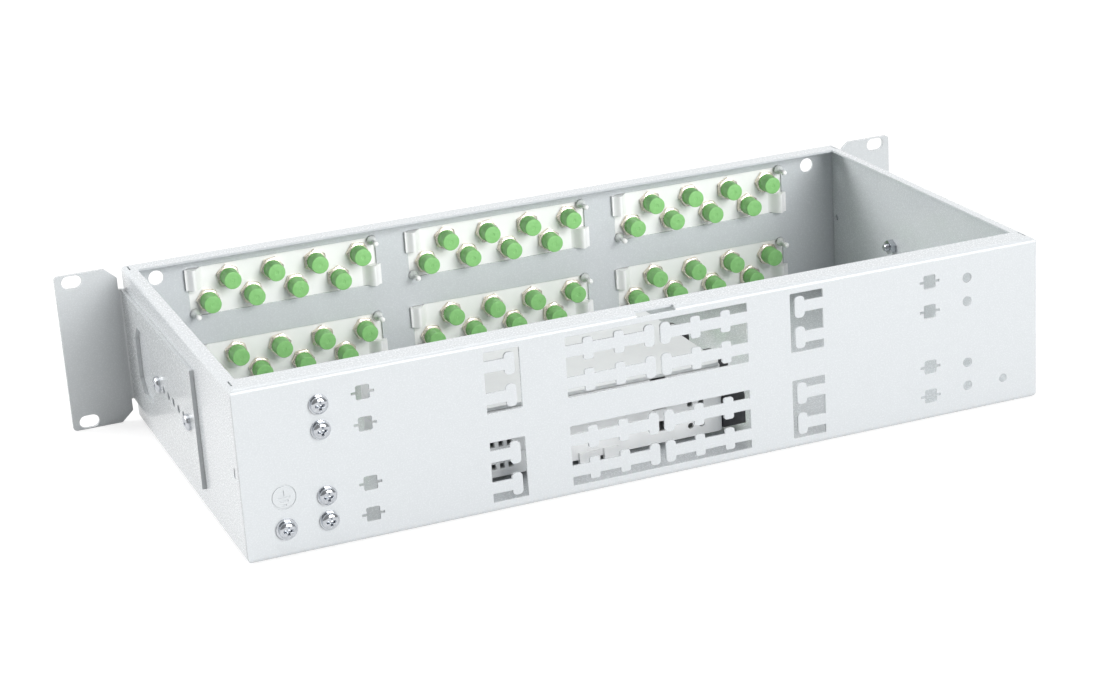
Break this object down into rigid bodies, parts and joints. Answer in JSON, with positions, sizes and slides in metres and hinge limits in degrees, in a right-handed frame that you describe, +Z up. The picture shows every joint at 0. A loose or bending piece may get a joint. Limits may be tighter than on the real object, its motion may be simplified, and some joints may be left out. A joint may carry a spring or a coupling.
{
  "type": "fibre patch panel",
  "caption": "Open-topped rack shelf with slotted ears: threaded fibre adapters under green dust caps on snap-in plates, cable-tie windows behind, and hinged splice trays inside.",
  "frame": {"origin": "middle of the case underside", "axes": "+Z up, -Y towards the front with the ports and rack ears, +X to the right as seen from the front"},
  "size_m": [0.4826, 0.2292, 0.084],
  "materials": {
    "case_paint": "pale grey powder coat, semi-gloss with fine orange peel",
    "ear_paint": "pale grey powder coat, semi-gloss with fine orange peel",
    "plate_white": "white moulding with a soft sheen",
    "adapter_nickel": "nickel-plated brass",
    "nut_nickel": "nickel-plated brass with bright corners",
    "sleeve_ceramic": "polished white ceramic",
    "cap_green": "soft satin green plastic",
    "rivet_nylon": "milky nylon",
    "zinc": "bright zinc plate",
    "bracket_steel": "zinc-plated sheet steel",
    "tray_white": "matt white moulding",
    "cover_frost": "frosted white sheet",
    "hinge_black": "matt black moulding"
  },
  "bodies": {
    "panel": {"case": "case_paint", "ear_left": "ear_paint", "ear_right": "ear_paint", "ear_screws": "zinc", "ear_nuts": "zinc", "push_rivets": "rivet_nylon", "clamp_screws": "zinc", "clamp_washers": "zinc", "clamp_bracket_upper": "bracket_steel", "clamp_bracket_lower": "bracket_steel", "clamp_bars": "bracket_steel", "clamp_bolts": "zinc", "earth_screw": "zinc", "earth_washer": "zinc", "earth_nut": "zinc", "tray_base": "tray_white", "hinge_clips_lower": "hinge_black", "tray_studs": "zinc", "tray_nuts": "zinc", "adapter_plate_top_left": "plate_white", "adapters_top_left": "adapter_nickel", "sleeves_top_left": "sleeve_ceramic", "adapter_nuts_top_left": "nut_nickel", "rear_caps_top_left": "cap_green", "front_caps_top_left": "cap_green", "adapter_plate_top_middle": "plate_white", "adapters_top_middle": "adapter_nickel", "sleeves_top_middle": "sleeve_ceramic", "adapter_nuts_top_middle": "nut_nickel", "rear_caps_top_middle": "cap_green", "front_caps_top_middle": "cap_green", "adapter_plate_top_right": "plate_white", "adapters_top_right": "adapter_nickel", "sleeves_top_right": "sleeve_ceramic", "adapter_nuts_top_right": "nut_nickel", "rear_caps_top_right": "cap_green", "front_caps_top_right": "cap_green", "adapter_plate_bottom_left": "plate_white", "adapters_bottom_left": "adapter_nickel", "sleeves_bottom_left": "sleeve_ceramic", "adapter_nuts_bottom_left": "nut_nickel", "rear_caps_bottom_left": "cap_green", "front_caps_bottom_left": "cap_green", "adapter_plate_bottom_middle": "plate_white", "adapters_bottom_middle": "adapter_nickel", "sleeves_bottom_middle": "sleeve_ceramic", "adapter_nuts_bottom_middle": "nut_nickel", "rear_caps_bottom_middle": "cap_green", "front_caps_bottom_middle": "cap_green", "adapter_plate_bottom_right": "plate_white", "adapters_bottom_right": "adapter_nickel", "sleeves_bottom_right": "sleeve_ceramic", "adapter_nuts_bottom_right": "nut_nickel", "rear_caps_bottom_right": "cap_green", "front_caps_bottom_right": "cap_green"},
    "middle_tray": {"tray_middle": "tray_white", "hinge_clips_upper": "hinge_black"},
    "top_tray": {"tray_top": "tray_white"},
    "cover": {"tray_cover": "cover_frost"}
  },
  "joints": [
    {"name": "middle_tray_hinge", "type": "hinge", "parent": "panel", "child": "middle_tray", "pos_m": [-0.0549, 0.027, 0.0197], "axis": [0, -1, 0], "range_deg": [0, 55]},
    {"name": "top_tray_hinge", "type": "hinge", "parent": "middle_tray", "child": "top_tray", "pos_m": [-0.0549, 0.027, 0.031], "axis": [0, -1, 0], "range_deg": [0, 55]},
    {"name": "cover_lift", "type": "slide", "parent": "top_tray", "child": "cover", "axis": [0, 0, 1], "range_m": [0, 0.025]}
  ]
}
